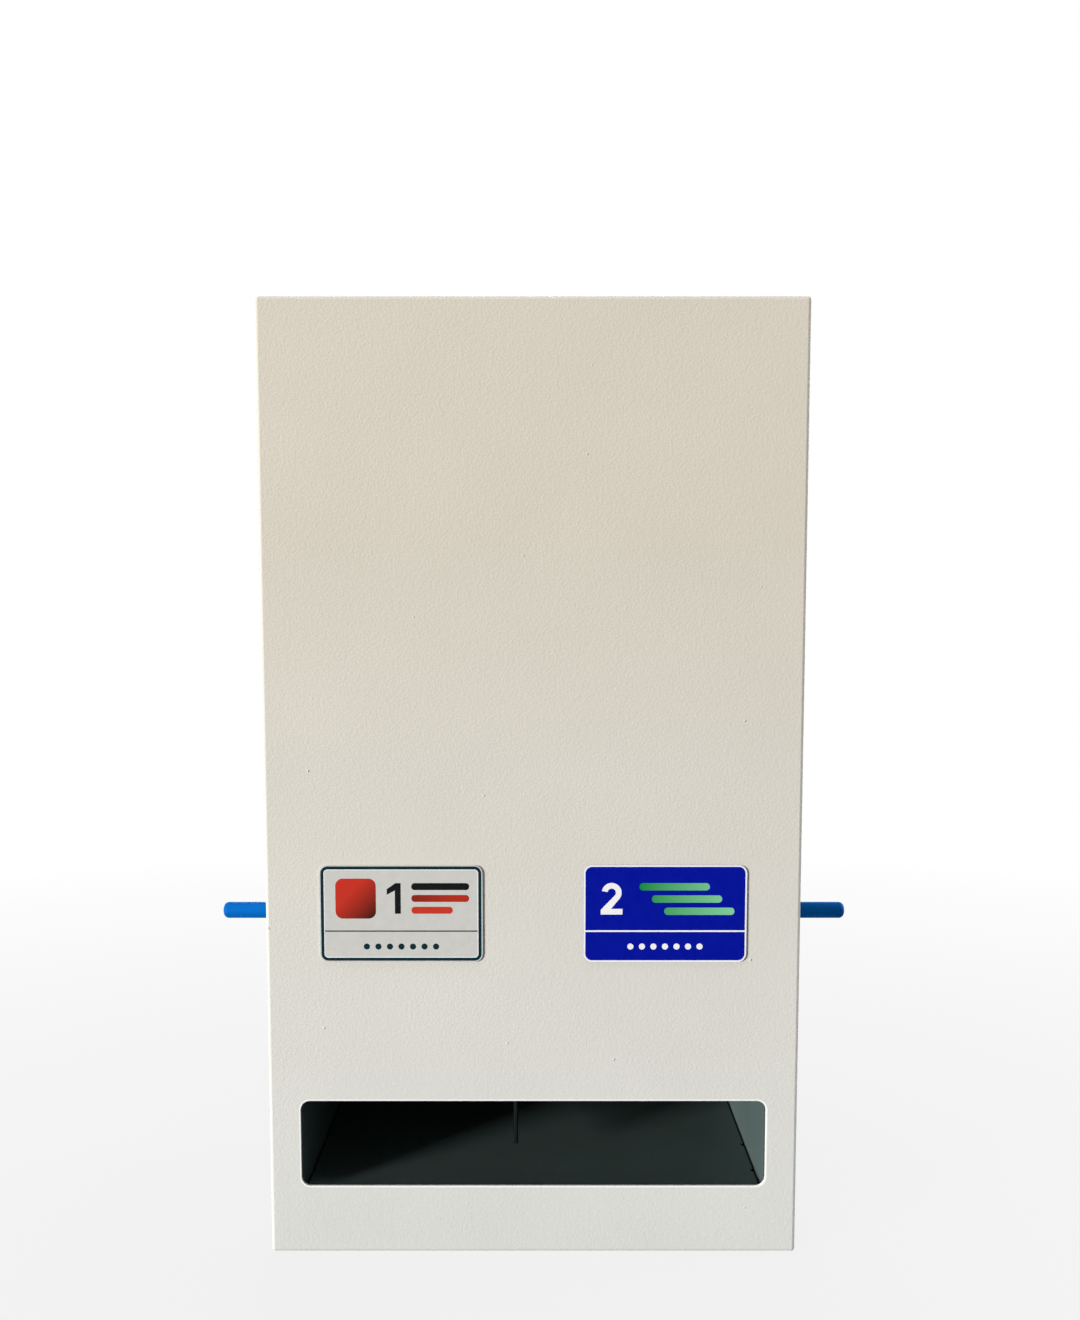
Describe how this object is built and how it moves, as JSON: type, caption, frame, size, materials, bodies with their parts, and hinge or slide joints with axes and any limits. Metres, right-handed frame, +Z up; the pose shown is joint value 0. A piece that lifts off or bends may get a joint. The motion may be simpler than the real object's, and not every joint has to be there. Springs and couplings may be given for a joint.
{
  "type": "sanitary napkin vending machine",
  "caption": "Wall-mounted steel dispenser for napkins and tampons, with a hinged front, a wide delivery mouth, two product columns and a push-down lever on each side.",
  "frame": {"origin": "centre of the bounding box in X and Y, at the underside of the cabinet", "axes": "+X to the right seen from the front, +Y to the back (the wall side), +Z up"},
  "size_m": [0.333, 0.1408, 0.463],
  "materials": {
    "almond_paint": "semi-gloss powder coat, light almond",
    "dark_paint": "dark charcoal paint on sheet steel",
    "zinc_plate": "zinc-plated sheet steel",
    "bright_steel": "bright turned or drawn steel",
    "lock_chrome": "polished chrome plate",
    "blue_vinyl": "soft bright blue vinyl sleeve",
    "nylon": "natural nylon",
    "grey_moulding": "moulded grey plastic",
    "black_rubber": "black rubber",
    "label_grey": "light grey printed plate",
    "label_blue": "deep blue printed plate"
  },
  "bodies": {
    "cabinet": {"cabinet_shell": "almond_paint", "left_side_plate": "dark_paint", "right_side_plate": "dark_paint", "column_divider": "dark_paint", "chute_floor": "dark_paint", "left_napkin_lip": "dark_paint", "right_napkin_lip": "dark_paint", "tampon_front_guide": "zinc_plate", "tampon_rear_guide": "zinc_plate", "left_shaft_bush": "nylon", "right_shaft_bush": "nylon", "centre_bearing_block": "nylon", "left_rest_bumper": "black_rubber", "right_rest_bumper": "black_rubber", "left_return_spring": "bright_steel", "right_return_spring": "bright_steel", "left_spring_post": "bright_steel", "right_spring_post": "bright_steel", "hinge_leaf_cabinet": "bright_steel", "hinge_pin": "bright_steel", "lock_body": "lock_chrome", "lock_nut": "bright_steel"},
    "door": {"door_panel": "almond_paint", "door_stiffener_upper": "zinc_plate", "door_stiffener_lower": "zinc_plate", "left_label": "label_grey", "right_label": "label_blue", "hinge_leaf_door": "bright_steel", "lock_keeper": "zinc_plate", "door_pad_upper": "black_rubber", "door_pad_lower": "black_rubber"},
    "left_lever": {"left_shaft": "bright_steel", "napkin_rotor": "zinc_plate", "left_arm": "zinc_plate", "left_rod": "bright_steel", "left_grip": "blue_vinyl", "left_set_screw": "bright_steel", "left_shaft_clip": "bright_steel", "left_rotor_screw": "bright_steel"},
    "right_lever": {"right_shaft": "bright_steel", "tampon_rotor": "grey_moulding", "right_arm": "zinc_plate", "right_rod": "bright_steel", "right_grip": "blue_vinyl", "right_set_screw": "bright_steel", "right_shaft_clip": "bright_steel", "right_rotor_screw": "bright_steel"},
    "lock": {"lock_plug": "lock_chrome", "lock_cam": "zinc_plate", "cam_screw": "bright_steel"}
  },
  "joints": [
    {"name": "door_hinge", "type": "hinge", "parent": "cabinet", "child": "door", "pos_m": [-0.1323, -0.05035, 0.2315], "axis": [0, 0, -1], "range_deg": [0, 170]},
    {"name": "left_lever_turn", "type": "hinge", "parent": "cabinet", "child": "left_lever", "pos_m": [-0.06, 0.028, 0.1339], "axis": [1, 0, 0], "range_deg": [0, 70], "stiffness_Nm_per_rad": 0.15, "springref_deg": -57.3, "deforming": ["left_return_spring"]},
    {"name": "right_lever_turn", "type": "hinge", "parent": "cabinet", "child": "right_lever", "pos_m": [0.06, 0.028, 0.1339], "axis": [1, 0, 0], "range_deg": [0, 70], "stiffness_Nm_per_rad": 0.15, "springref_deg": -57.3, "deforming": ["right_return_spring"]},
    {"name": "lock_turn", "type": "hinge", "parent": "cabinet", "child": "lock", "pos_m": [0.12, -0.0304, 0.24], "axis": [1, 0, 0], "range_deg": [0, 90]}
  ]
}
